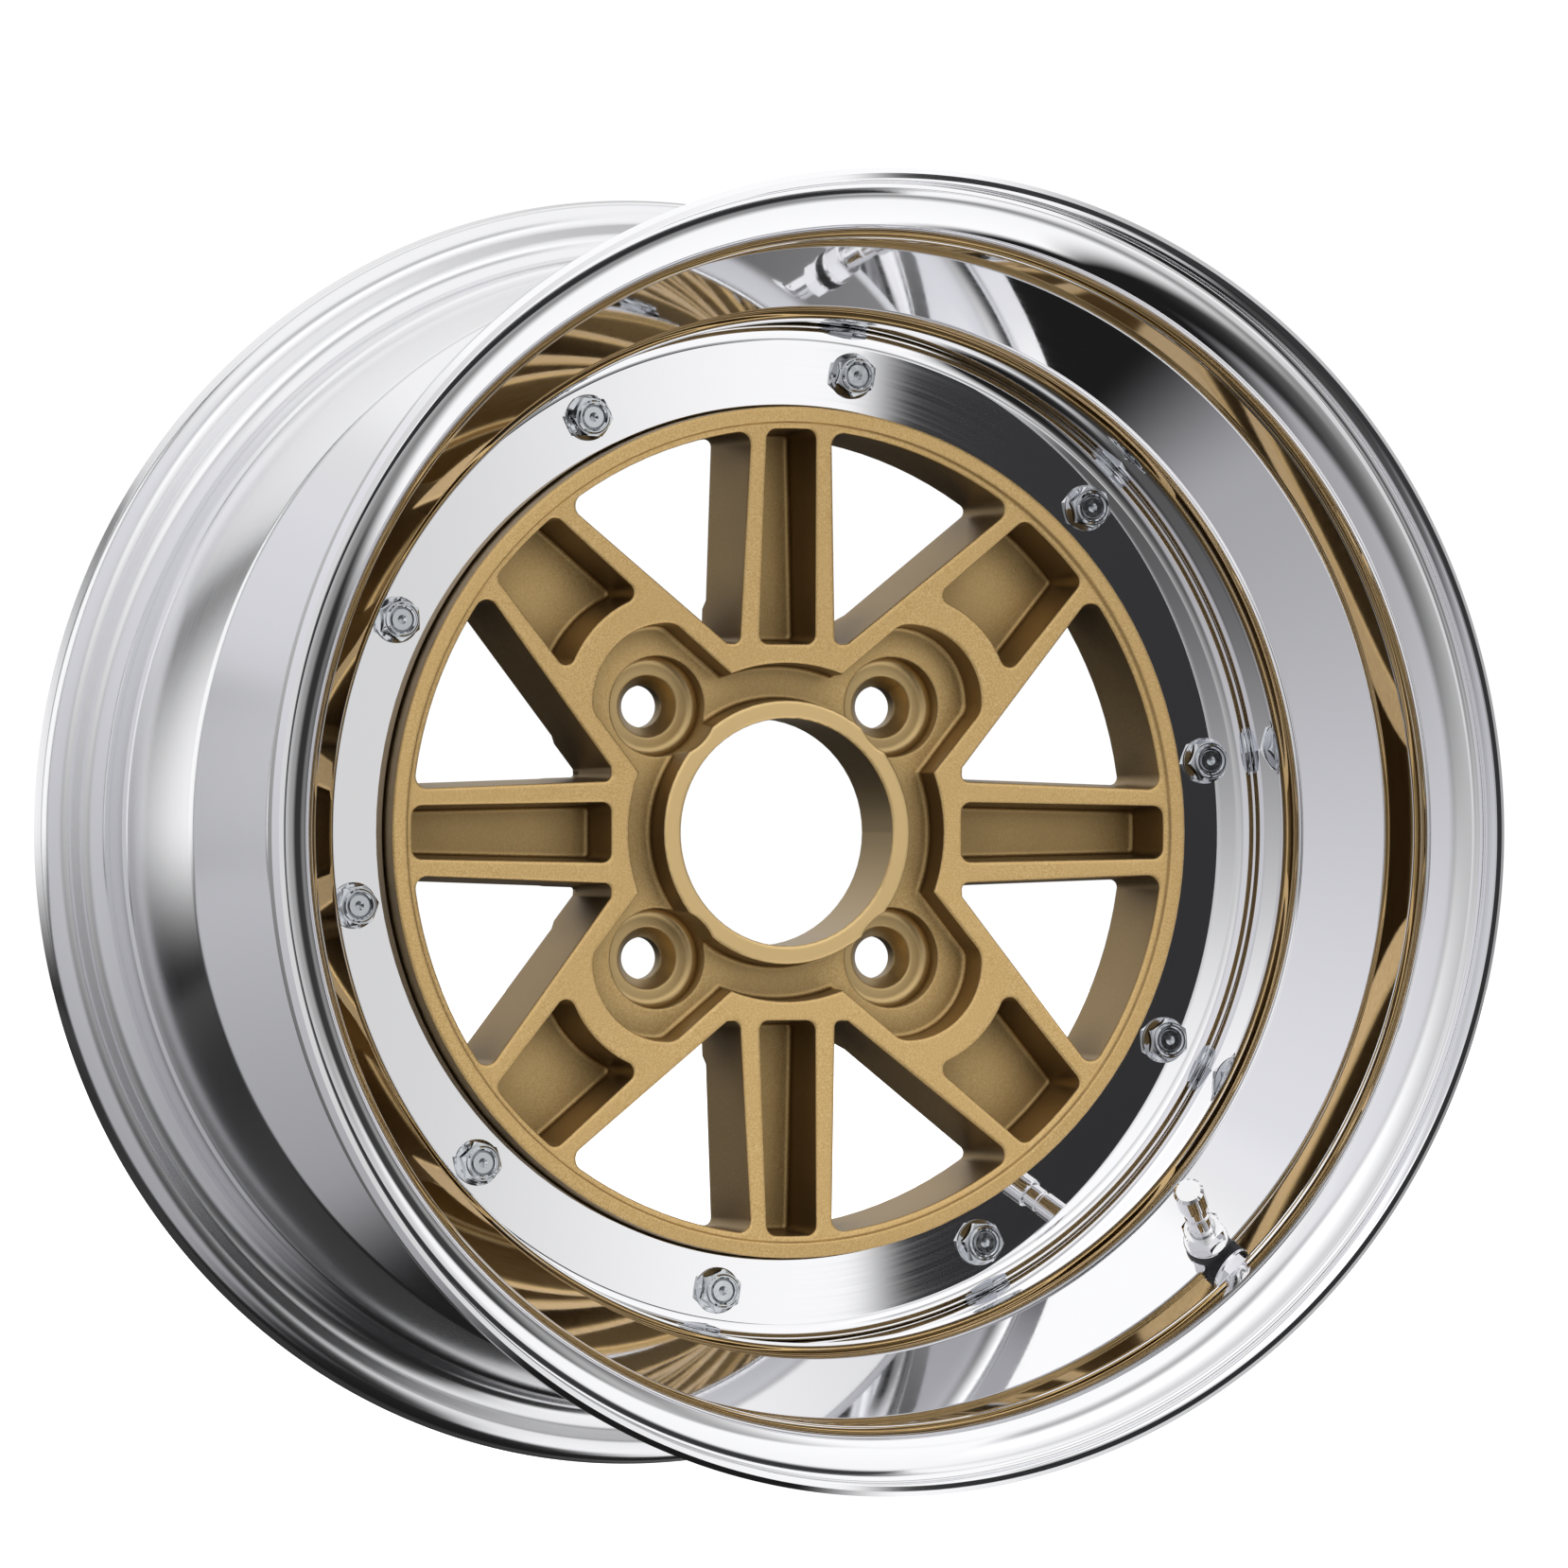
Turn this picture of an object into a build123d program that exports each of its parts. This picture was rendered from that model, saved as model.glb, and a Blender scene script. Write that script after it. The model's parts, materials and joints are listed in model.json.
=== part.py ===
from build123d import *
import os
from math import atan2, cos, radians, sin, sqrt, tan

# Three-piece road-racing wheel, 15 inch, four studs on 114.3 mm.
# Y is the axle line.  The street face looks towards -Y and the hub side towards +Y.
# The origin is on the axle line, half way between the two bead faces.
# Heights called "front" are measured from the origin plane towards the street face.

# ---- driving dimensions (mm) ----
# rim
bead_seat_r = 190.1          # 15 inch bead seat
bead_face = 104.0            # half of the width between the bead faces
bead_fillet = 8.0
flange_tip_r = 208.5
flange_curl_r = 8.0
flange_curl_y = 112.0
rim_front = 118.4            # half of the overall width
sheet = 4.2                  # wall of the rim halves
well_r = 167.1               # outside of the drop centre
seat_inside_r = 186.9        # visible side of the bead seat
# clamped joint between the halves and the centre
lip_flange_front = 18.2
lip_flange_t = 5.0
disc_flange_t = 7.5
inner_flange_t = 5.0
bolt_circle_r = 148.4
bolt_count = 10
first_bolt_deg = 9.0
bolt_r = 4.0
bolt_hole_r = 4.1
# centre
lug_pcd = 114.3
lug_count = 4
lug_hole_r = 6.75
lug_cone_r = 10.1
lug_bore_r = 16.2
lug_seat_front = 0.7
lug_seat_fillet = 3.0
hub_bore_r = 36.5
boss_r = 42.3
boss_front = 21.0
pad_rear = -10.0             # mounting pad that meets the hub
pad_r = 74.0
spoke_rear = -7.3
hub_face_front = 21.2        # the spokes' face rises from here
hub_face_r = 60.0
spoke_tip_front = 24.9
ring_front = 26.2
ring_r = 136.35
window_r = 129.3
spoke_half_in = 16.1         # straight spokes, at hub_face_r
spoke_half_out = 13.75       # straight spokes, at the ring
cross_half_in = 27.6         # diagonal spokes
cross_half_out = 19.5
rib_in = 6.1
rib_out = 5.2
recess_r = 54.5
recess_front = 9.7
lobe_r = 27.0                # recess round each stud hole
band_r = 36.0                # inner end of the diagonal pockets
pocket_r = 129.4
pocket_front = 2.8
wall_draft = 2.6
pocket_draft = 4.0
slope_foot_front = 49.0      # the lip's inner wall climbs from here
slope_top_front = 73.7
# valve
valve_deg = -46.3            # place round the rim
valve_seat_r = 182.1
valve_pad_r = 8.0
valve_pad_depth = 0.2
valve_hole_r = 4.2

lug_r = lug_pcd / 2
disc_flange_front = lip_flange_front - lip_flange_t
inner_flange_front = disc_flange_front - disc_flange_t
inner_flange_rear = inner_flange_front - inner_flange_t
well_wall_r = well_r - sheet
split_front = disc_flange_front - disc_flange_t / 2
disc_flange_r = well_wall_r - 1.0

os.makedirs("parts", exist_ok=True)


def save(part, name):
    """Labels a finished piece and writes its STEP file."""
    part.label = name
    export_step(part, f"parts/{name}.step")


def front_plane(front):
    """Plane across the axle at a height towards the street face, local x = X and local y = Z."""
    return Plane.XZ.offset(front)


def bolt_places(front):
    """The assembly bolts' places, as planes that look towards the street face."""
    for i in range(bolt_count):
        a = radians(first_bolt_deg + i * 360 / bolt_count)
        yield Plane(
            origin=(bolt_circle_r * cos(a), -front, bolt_circle_r * sin(a)),
            x_dir=(cos(a), 0, sin(a)),
            z_dir=(0, -1, 0),
        )


def section_plane(place):
    """Plane through a place's axis: local x is the radius and local y runs along the axis."""
    return Plane(origin=place.origin, x_dir=place.x_dir, z_dir=place.x_dir.cross(place.z_dir))


def turned(place, points):
    """A turned piece: the closed outline of (radius, height) points, revolved about the place's axis."""
    with BuildPart() as piece:
        with BuildSketch(section_plane(place)):
            with BuildLine():
                Polyline(*points, close=True)
            make_face()
        revolve(axis=Axis(place.origin, place.z_dir))
    return piece.part


def placed(template, place, name):
    """Writes a copy of a finished piece that stands at a place."""
    with BuildPart() as copy:
        with Locations(place):
            add(template)
    save(copy.part, name)


# ---- valve axis: square to the slope of the lip ----
slope_angle = atan2(seat_inside_r - well_wall_r, slope_top_front - slope_foot_front)
valve_seat_front = slope_foot_front + (valve_seat_r - well_wall_r) / tan(slope_angle)
valve_in = -cos(slope_angle)
valve_out = -sin(slope_angle)
valve_turn = radians(valve_deg)
valve_axis = Vector(valve_in * cos(valve_turn), valve_out, valve_in * sin(valve_turn))
valve_origin = Vector(
    valve_seat_r * cos(valve_turn), -valve_seat_front, valve_seat_r * sin(valve_turn)
) - valve_axis * valve_pad_depth
valve_place = Plane(
    origin=valve_origin,
    x_dir=Vector(-sin(valve_turn), 0, cos(valve_turn)),
    z_dir=valve_axis,
)

# ---- rim halves: flange outline shared by both, side is -1 for the street flange, +1 for the hub flange ----
corner_y = bead_face - bead_fillet
corner_r = bead_seat_r + bead_fillet
face_arc = 15.3              # from the bead seat's visible side out to the flange's face
face_r = seat_inside_r + face_arc
face_foot_y = 93.3
face_y = face_foot_y + face_arc
lip_root = 2.2               # small hollow at the foot of the upright lip
lip_wall_r = face_r + lip_root
lip_edge = (
    (lip_wall_r + 0.4, rim_front - 0.2),
    (lip_wall_r + 0.8, rim_front),
    (flange_tip_r - 1.7, rim_front),
    (flange_tip_r, rim_front - 1.8),
)
curl_tip_r = flange_tip_r - 0.7
curl_r = curl_tip_r - flange_curl_r


def flange_outline(side):
    """The rolled flange, from the inside of the bead seat, over the lip and down to the bead seat."""
    RadiusArc((seat_inside_r, side * face_foot_y), (face_r, side * face_y), side * face_arc)
    RadiusArc((face_r, side * face_y), (lip_wall_r, side * (face_y + lip_root)), -side * lip_root)
    Polyline(
        (lip_wall_r, side * (face_y + lip_root)),
        *[(r, side * y) for r, y in lip_edge],
        (curl_tip_r, side * flange_curl_y),
    )
    RadiusArc((curl_tip_r, side * flange_curl_y), (curl_r, side * bead_face), side * flange_curl_r)
    Line((curl_r, side * bead_face), (corner_r, side * bead_face))
    RadiusArc((corner_r, side * bead_face), (bead_seat_r, side * corner_y), -side * bead_fillet)


# ---- outer rim half: deep lip with its bolted flange in front of the centre ----
lip_bore_r = ring_r + 0.6
seat_fillet = 5.5            # foot of the well wall, clear of the nuts
slope_foot_fillet = 17.2
slope_top_fillet = 5.0
back_foot_front = slope_foot_front - sheet * tan(slope_angle / 2)
back_top_front = back_foot_front + (bead_seat_r - well_r) / tan(slope_angle)
back_top_fillet = 2.0
back_foot_fillet = 13.0
with BuildPart() as outer_rim_half:
    with BuildSketch(Plane.XY):
        with BuildLine():
            FilletPolyline(
                (lip_bore_r, -lip_flange_front),
                (well_wall_r, -lip_flange_front),
                (well_wall_r, -slope_foot_front),
                (seat_inside_r, -slope_top_front),
                (seat_inside_r, -face_foot_y),
                radius=[seat_fillet, slope_foot_fillet, slope_top_fillet],
            )
            flange_outline(-1)
            FilletPolyline(
                (bead_seat_r, -corner_y),
                (bead_seat_r, -back_top_front),
                (well_r, -back_foot_front),
                (well_r, -split_front),
                radius=[back_top_fillet, back_foot_fillet],
            )
            Polyline(
                (well_r, -split_front),
                (well_wall_r, -split_front),
                (well_wall_r, -disc_flange_front),
                (lip_bore_r, -disc_flange_front),
                (lip_bore_r, -lip_flange_front),
            )
        make_face()
    revolve(axis=Axis.Y)
    for place in bolt_places(disc_flange_front):
        with BuildSketch(place):
            Circle(bolt_hole_r)
        extrude(amount=2 * lip_flange_t, mode=Mode.SUBTRACT)
    with BuildSketch(valve_place):
        Circle(valve_pad_r)
    extrude(amount=2 * valve_pad_r, mode=Mode.SUBTRACT)
    with BuildSketch(valve_place):
        Circle(valve_hole_r)
    extrude(amount=-4 * sheet, mode=Mode.SUBTRACT)
save(outer_rim_half.part, "outer_rim_half")

# ---- inner rim half: barrel over the brake ----
barrel = (
    (183.5, 33.3),
    (187.0, 61.3),
    (188.4, 84.3),
)
barrel_foot = (well_r, 3.3)
inner_bore_r = ring_r + 2.2
with BuildPart() as inner_rim_half:
    with BuildSketch(Plane.XY):
        with BuildLine():
            FilletPolyline(
                (well_r, -split_front),
                barrel_foot,
                barrel[0],
                barrel[1],
                radius=8.0,
            )
            Polyline(
                barrel[1],
                (barrel[2][0] - 0.5, barrel[2][1]),
                (barrel[2][0] + 0.5, barrel[2][1] + 1.2),
                (bead_seat_r, corner_y),
            )
            flange_outline(1)
            FilletPolyline(
                (seat_inside_r, face_foot_y),
                (barrel[2][0] - sheet, barrel[2][1] + 1.0),
                (barrel[1][0] - sheet, barrel[1][1]),
                (barrel[0][0] - sheet + 0.6, barrel[0][1] + 2.4),
                (well_wall_r, 4.8),
                (well_wall_r, -inner_flange_rear),
                (inner_bore_r, -inner_flange_rear),
                radius=[1.0, 8.0, 8.0, 8.0, 1.4],
            )
            Polyline(
                (inner_bore_r, -inner_flange_rear),
                (inner_bore_r, -inner_flange_front),
                (well_wall_r, -inner_flange_front),
                (well_wall_r, -split_front),
                (well_r, -split_front),
            )
        make_face()
    revolve(axis=Axis.Y)
    for place in bolt_places(inner_flange_rear):
        with BuildSketch(place):
            Circle(bolt_hole_r)
        extrude(amount=2 * inner_flange_t, mode=Mode.SUBTRACT)
save(inner_rim_half.part, "inner_rim_half")

# ---- sealant over the split, on the tyre side ----
bead_half = 6.0
bead_rise = 1.3
with BuildPart() as sealant_bead:
    with BuildSketch(Plane.XY):
        with BuildLine():
            ThreePointArc(
                (well_r, -split_front - bead_half),
                (well_r + bead_rise, -split_front),
                (well_r, -split_front + bead_half),
            )
            Line((well_r, -split_front + bead_half), (well_r, -split_front - bead_half))
        make_face()
    revolve(axis=Axis.Y)
save(sealant_bead.part, "sealant_bead")

# ---- centre: eight ribbed spokes, hub and the flange that is clamped between the rim halves ----
ring_flat_r = 131.7
step_foot_r = 131.0
ring_chamfer = 0.45
pad_step_r = pad_r + (spoke_rear - pad_rear)
bore_chamfer = 4.0
ring_corner = 4.0
hub_corner = 2.6
pocket_corner = 3.4
lobe_corner = 7.0
rear_pocket_r = 57.5
rear_pocket_w = 14.0
rear_pocket_deg = 34.0
rear_pocket_depth = 4.5
lobe_x = 74.6
cutter_top = ring_front + 1.0
edge_round = 0.7
recess_round = 1.4
pocket_round = 1.3
boss_round = 0.6
lug_cone_depth = (lug_cone_r - lug_hole_r) / tan(radians(30))
recess_draft = 3.0
diagonal = cos(radians(45))


def spoke_half(r, inner, outer):
    """Half width of a spoke at a radius: it narrows evenly from the hub to the ring."""
    return inner + (outer - inner) * (r - hub_face_r) / (window_r - hub_face_r)


def face_front(r):
    """Height of the spokes' shallow cone at a radius."""
    return hub_face_front + (spoke_tip_front - hub_face_front) * (r - hub_face_r) / (window_r - hub_face_r)


def rib(r):
    """Width of the raised rib along a spoke's edge."""
    return spoke_half(r, rib_in, rib_out)


def cross_half(r):
    """Half width of a diagonal spoke."""
    return spoke_half(r, cross_half_in, cross_half_out)


def straight_half(r):
    """Half width of a straight spoke."""
    return spoke_half(r, spoke_half_in, spoke_half_out)


def reach(radius, half):
    """Distance along a spoke at which a line at half its width meets a circle about the axle."""
    return sqrt(radius**2 - half**2)


def on_diagonal(along, across):
    """Point given along and across the first diagonal."""
    return ((along - across) * diagonal, (along + across) * diagonal)


# flat outlines, drawn for one spoke and repeated round the axle
window_root = 57.4
with BuildSketch() as window:
    with BuildLine():
        outer_low = (reach(window_r, spoke_half_out), spoke_half_out)
        outer_high = on_diagonal(reach(window_r, cross_half_out), -cross_half_out)
        Polyline(
            outer_low,
            (hub_face_r, straight_half(hub_face_r)),
            on_diagonal(window_root, -cross_half(window_root)),
            outer_high,
        )
        RadiusArc(outer_high, outer_low, window_r)
    make_face()
    fillet(window.vertices().group_by(Axis.X)[0], hub_corner)
    fillet(window.vertices().sort_by_distance((outer_low[0], outer_low[1]))[0], ring_corner)
    fillet(window.vertices().sort_by_distance((outer_high[0], outer_high[1]))[0], ring_corner)

with BuildSketch() as straight_pocket:
    with BuildLine():
        half_in = straight_half(hub_face_r) - rib(hub_face_r)
        half_out = straight_half(pocket_r) - rib(pocket_r)
        end_x = reach(pocket_r, half_out)
        Polyline((end_x, half_out), (hub_face_r, half_in), (hub_face_r, -half_in), (end_x, -half_out))
        RadiusArc((end_x, -half_out), (end_x, half_out), -pocket_r)
    make_face()
    fillet(straight_pocket.vertices(), pocket_corner)

with BuildSketch() as cross_pocket:
    with BuildLine():
        band_half = cross_half(lug_r + band_r) - rib(lug_r + band_r)
        band_x = lug_r + sqrt(band_r**2 - band_half**2)
        half_out = cross_half(pocket_r) - rib(pocket_r)
        end_x = reach(pocket_r, half_out)
        Line((end_x, half_out), (band_x, band_half))
        ThreePointArc((band_x, band_half), (lug_r + band_r, 0), (band_x, -band_half))
        Line((band_x, -band_half), (end_x, -half_out))
        RadiusArc((end_x, -half_out), (end_x, half_out), -pocket_r)
    make_face()
    fillet(cross_pocket.vertices(), pocket_corner)

with BuildSketch() as lobe:
    with BuildLine():
        lobe_half = cross_half(lobe_x) - rib(lobe_x)
        root_half = cross_half(boss_r) - rib(boss_r)
        Polyline((lobe_x, -lobe_half), (boss_r, -root_half), (boss_r, root_half), (lobe_x, lobe_half))
        ThreePointArc((lobe_x, lobe_half), (lug_r + lobe_r, 0), (lobe_x, -lobe_half))
    make_face()
    fillet(lobe.vertices().group_by(Axis.X)[-1], lobe_corner)

with BuildPart() as centre_disc:
    with BuildSketch(Plane.XY):
        with BuildLine():
            Polyline(
                (0, -face_front(0)),
                (step_foot_r, -face_front(step_foot_r)),
                (ring_flat_r, -ring_front),
                (ring_r - ring_chamfer, -ring_front),
                (ring_r, -ring_front + ring_chamfer),
                (ring_r, -disc_flange_front),
                (disc_flange_r, -disc_flange_front),
                (disc_flange_r, -inner_flange_front),
                (ring_r, -inner_flange_front),
                (ring_r, -spoke_rear - 1.5),
                (ring_r - 1.5, -spoke_rear),
                (pad_step_r, -spoke_rear),
                (pad_r, -pad_rear),
                (0, -pad_rear),
                close=True,
            )
        make_face()
    revolve(axis=Axis.Y)
    with BuildSketch(front_plane(ring_front)):
        with PolarLocations(0, 4):
            add(window.sketch)
            add(mirror(window.sketch, about=Plane.XZ, mode=Mode.PRIVATE))
    extrude(amount=-(ring_front - pad_rear + 2), taper=wall_draft, mode=Mode.SUBTRACT)
    with BuildSketch(front_plane(ring_front)):
        with PolarLocations(0, 4):
            add(straight_pocket.sketch)
        with PolarLocations(0, 4, start_angle=45):
            add(cross_pocket.sketch)
    extrude(amount=-(ring_front - pocket_front), taper=pocket_draft, mode=Mode.SUBTRACT)
    # stepped recess round the hub, with the boss that stands in it
    with BuildSketch(front_plane(ring_front)):
        Circle(recess_r)
        with PolarLocations(0, 4, start_angle=45):
            add(lobe.sketch)
    extrude(amount=-(ring_front - recess_front), taper=recess_draft, mode=Mode.SUBTRACT)
    # rounded edges where the spokes' face meets the walls, but not at its rim or on its seam
    spoke_face = centre_disc.faces().filter_by(GeomType.CONE).sort_by(SortBy.AREA)
    spoke_face = spoke_face.filter_by(lambda face: face.normal_at().Y < -0.9)[-1]
    outlines = spoke_face.edges().filter_by(GeomType.LINE, reverse=True).sort_by(SortBy.LENGTH)[:-1]
    fillet(outlines, edge_round)
    with BuildSketch(front_plane(recess_front)):
        Circle(boss_r + (boss_front - recess_front) * tan(radians(recess_draft)))
    extrude(amount=boss_front - recess_front, taper=recess_draft)
    # rounded floors of the recess and the pockets
    floors = centre_disc.faces().filter_by(Axis.Y)
    fillet(floors.filter_by_position(Axis.Y, -recess_front - 0.1, -recess_front + 0.1).edges(), recess_round)
    fillet(floors.filter_by_position(Axis.Y, -pocket_front - 0.1, -pocket_front + 0.1).edges(), pocket_round)
    # hub bore, stud seats and the clamped flange's holes
    with BuildSketch(Plane.XY):
        with BuildLine():
            Polyline(
                (0, -cutter_top),
                (hub_bore_r, -cutter_top),
                (hub_bore_r, -pad_rear - bore_chamfer),
                (hub_bore_r + bore_chamfer, -pad_rear),
                (0, -pad_rear),
                close=True,
            )
        make_face()
    revolve(axis=Axis.Y, mode=Mode.SUBTRACT)
    for i in range(lug_count):
        a = radians(45 + i * 360 / lug_count)
        seat = Plane(
            origin=(lug_r * cos(a), -lug_seat_front, lug_r * sin(a)),
            x_dir=(cos(a), 0, sin(a)),
            z_dir=(0, -1, 0),
        )
        with BuildSketch(section_plane(seat)):
            with BuildLine():
                Polyline(
                    (lug_hole_r, pad_rear - lug_seat_front),
                    (lug_hole_r, -lug_cone_depth),
                    (lug_cone_r, 0),
                    (lug_bore_r - lug_seat_fillet, 0),
                )
                RadiusArc(
                    (lug_bore_r - lug_seat_fillet, 0),
                    (lug_bore_r, lug_seat_fillet),
                    -lug_seat_fillet,
                )
                Polyline(
                    (lug_bore_r, lug_seat_fillet),
                    (lug_bore_r, cutter_top - lug_seat_front),
                    (0, cutter_top - lug_seat_front),
                    (0, pad_rear - lug_seat_front),
                    (lug_hole_r, pad_rear - lug_seat_front),
                )
            make_face()
        revolve(axis=Axis(seat.origin, seat.z_dir), mode=Mode.SUBTRACT)
    for place in bolt_places(disc_flange_front):
        with BuildSketch(place):
            Circle(bolt_hole_r)
        extrude(amount=-2 * disc_flange_t, mode=Mode.SUBTRACT)
    with BuildSketch(front_plane(pad_rear)):
        with PolarLocations(0, 4):
            SlotArc(CenterArc((0, 0), rear_pocket_r, -rear_pocket_deg / 2, rear_pocket_deg), rear_pocket_w)
    extrude(amount=rear_pocket_depth, taper=pocket_draft, mode=Mode.SUBTRACT)
    boss_edges = centre_disc.edges().filter_by_position(Axis.Y, -boss_front - 0.01, -boss_front + 0.01)
    fillet(boss_edges, boss_round)
save(centre_disc.part, "centre_disc")

# ---- assembly fasteners ----
nut_half_af = 6.0
nut_flange_r = 7.4
nut_flange_t = 1.1
nut_height = 6.5
nut_hex_top = 5.3
collar_r = 5.4
nut_bore_r = 4.06
mouth_r = 4.5
washer_t = 1.6
washer_r = 7.9
head_height = 6.2
centre_drill_r = 1.5
nut_front = lip_flange_front + nut_height
washer_rear = inner_flange_rear - washer_t
bolt_length = nut_front - 0.9 - washer_rear
upright = Plane.XY


def hexagon(height_from, height_to, half_af):
    """Hexagonal prism between two heights, with its corners turned down at both ends."""
    corner = half_af / cos(radians(30))
    cut = corner - half_af
    with BuildPart() as prism:
        with BuildSketch(Plane.XY.offset(height_from)):
            RegularPolygon(half_af, 6, major_radius=False)
        extrude(amount=height_to - height_from)
        with BuildSketch(section_plane(upright)):
            with BuildLine():
                Polyline(
                    (0, height_from),
                    (corner - 0.6 * cut, height_from),
                    (corner, height_from + 0.35 * cut),
                    (corner, height_to - 0.7 * cut),
                    (half_af - 0.2 * cut, height_to),
                    (0, height_to),
                    close=True,
                )
            make_face()
        revolve(axis=Axis.Z, mode=Mode.INTERSECT)
    return prism.part


# flange nut: coned flange, hexagon and a round collar with a chamfered mouth
nut_hexagon = hexagon(nut_flange_t, nut_hex_top, nut_half_af)
nut_body = turned(
    upright,
    [
        (0, 0),
        (nut_flange_r - 0.5, 0),
        (nut_flange_r, 0.5),
        (nut_flange_r, 0.8),
        (nut_flange_r - 0.5, nut_flange_t + 0.1),
        (nut_half_af, nut_flange_t + 0.9),
        (collar_r, nut_hex_top),
        (collar_r, nut_height - 0.5),
        (collar_r - 0.5, nut_height),
        (0, nut_height),
    ],
)
nut_bore = turned(
    upright,
    [
        (0, -1),
        (nut_bore_r, -1),
        (nut_bore_r, nut_height - 1.0),
        (mouth_r, nut_height - 0.6),
        (mouth_r, nut_height + 1),
        (0, nut_height + 1),
    ],
)
with BuildPart() as nut_shape:
    add(nut_hexagon)
    add(nut_body)
    add(nut_bore, mode=Mode.SUBTRACT)

# bolt: flanged hexagon head behind the hub-side washer, shank through all three flanges
head_hexagon = hexagon(-head_height, -0.5, nut_half_af)
bolt_body = turned(
    upright,
    [
        (0, -head_height + 1.2),
        (nut_half_af - 1.6, -head_height + 1.2),
        (nut_half_af, -1.6),
        (nut_flange_r, -0.9),
        (nut_flange_r, 0),
        (bolt_r, 0),
        (bolt_r, bolt_length - 0.7),
        (bolt_r - 0.7, bolt_length),
        (centre_drill_r, bolt_length),
        (0, bolt_length - centre_drill_r),
    ],
)
with BuildPart() as bolt_shape:
    add(bolt_body)
    add(head_hexagon)

washer_shape = turned(
    upright,
    [
        (bolt_hole_r + 0.1, 0),
        (washer_r - 0.2, 0),
        (washer_r, 0.2),
        (washer_r, washer_t - 0.2),
        (washer_r - 0.2, washer_t),
        (bolt_hole_r + 0.1, washer_t),
    ],
)

for i, place in enumerate(bolt_places(lip_flange_front), 1):
    placed(nut_shape.part, place, f"assembly_nut_{i:02d}")
for i, place in enumerate(bolt_places(washer_rear), 1):
    placed(bolt_shape.part, place, f"assembly_bolt_{i:02d}")
    placed(washer_shape, place, f"bolt_washer_{i:02d}")

# ---- tyre valve: clamp-in metal stem with its seals, core and cap ----
# Heights run along the stem from the spot face on the lip's visible side.
stem_r = 4.1
wall_at_valve = sheet - valve_pad_depth
gland_t = 2.4
foot_t = 2.6
foot_r = 7.4
seal_t = 2.4
seal_r = 7.2
valve_washer_t = 1.0
valve_washer_r = 7.2
washer_edge = 0.2
valve_nut_half_af = 6.0
valve_nut_height = 6.6
thread_r = 3.87
thread_foot = 20.0
chamber_r = 2.65
bore_r = 1.9
pin_r = 0.7
cap_top = 34.0
cap_height = 9.0
cap_foot = cap_top - cap_height
cap_r = 4.9
cap_bore_r = thread_r + 0.08
gasket_t = 1.0
gasket_top = cap_top - 1.6
stem_top = gasket_top - gasket_t - 0.2
core_top = stem_top - 1.0
core_foot = core_top - 10.8
core_floor = core_foot - 3.1

foot_z = -wall_at_valve - gland_t
save(
    turned(
        valve_place,
        [
            (bore_r, foot_z - foot_t),
            (foot_r - 0.8, foot_z - foot_t),
            (foot_r, foot_z - foot_t + 0.8),
            (foot_r, foot_z),
            (stem_r, foot_z),
            (stem_r, thread_foot - 1.2),
            (thread_r - 0.35, thread_foot - 0.7),
            (thread_r - 0.35, thread_foot),
            (thread_r, thread_foot + 0.4),
            (thread_r, stem_top - 0.5),
            (thread_r - 0.5, stem_top),
            (chamber_r, stem_top),
            (chamber_r, core_floor + 0.8),
            (bore_r, core_floor),
        ],
    ),
    "valve_stem",
)
save(
    turned(
        valve_place,
        [
            (stem_r + 0.02, foot_z),
            (seal_r - 0.3, foot_z),
            (seal_r, foot_z + 0.3),
            (seal_r - 0.9, -wall_at_valve - 0.05),
            (stem_r + 0.02, -wall_at_valve - 0.05),
        ],
    ),
    "valve_seal_tyre_side",
)
save(
    turned(
        valve_place,
        [
            (stem_r + 0.02, 0),
            (seal_r, 0),
            (seal_r, seal_t - 0.6),
            (seal_r - 0.6, seal_t),
            (stem_r + 0.02, seal_t),
        ],
    ),
    "valve_seal_street_side",
)
save(
    turned(
        valve_place,
        [
            (stem_r + 0.15, seal_t),
            (valve_washer_r - washer_edge, seal_t),
            (valve_washer_r, seal_t + washer_edge),
            (valve_washer_r, seal_t + valve_washer_t - washer_edge),
            (valve_washer_r - washer_edge, seal_t + valve_washer_t),
            (stem_r + 0.15, seal_t + valve_washer_t),
        ],
    ),
    "valve_washer",
)
nut_z = seal_t + valve_washer_t
nut_place = Plane(origin=valve_origin + valve_axis * nut_z, x_dir=valve_place.x_dir, z_dir=valve_axis)
valve_hexagon = hexagon(0, valve_nut_height, valve_nut_half_af)
valve_nut_bore = turned(
    upright,
    [
        (0, -1),
        (stem_r + 0.05, -1),
        (stem_r + 0.05, valve_nut_height - 0.5),
        (stem_r + 0.6, valve_nut_height + 0.05),
        (stem_r + 0.6, valve_nut_height + 1),
        (0, valve_nut_height + 1),
    ],
)
with BuildPart() as valve_nut:
    with Locations(nut_place):
        add(valve_hexagon)
        add(valve_nut_bore, mode=Mode.SUBTRACT)
save(valve_nut.part, "valve_nut")

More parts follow.
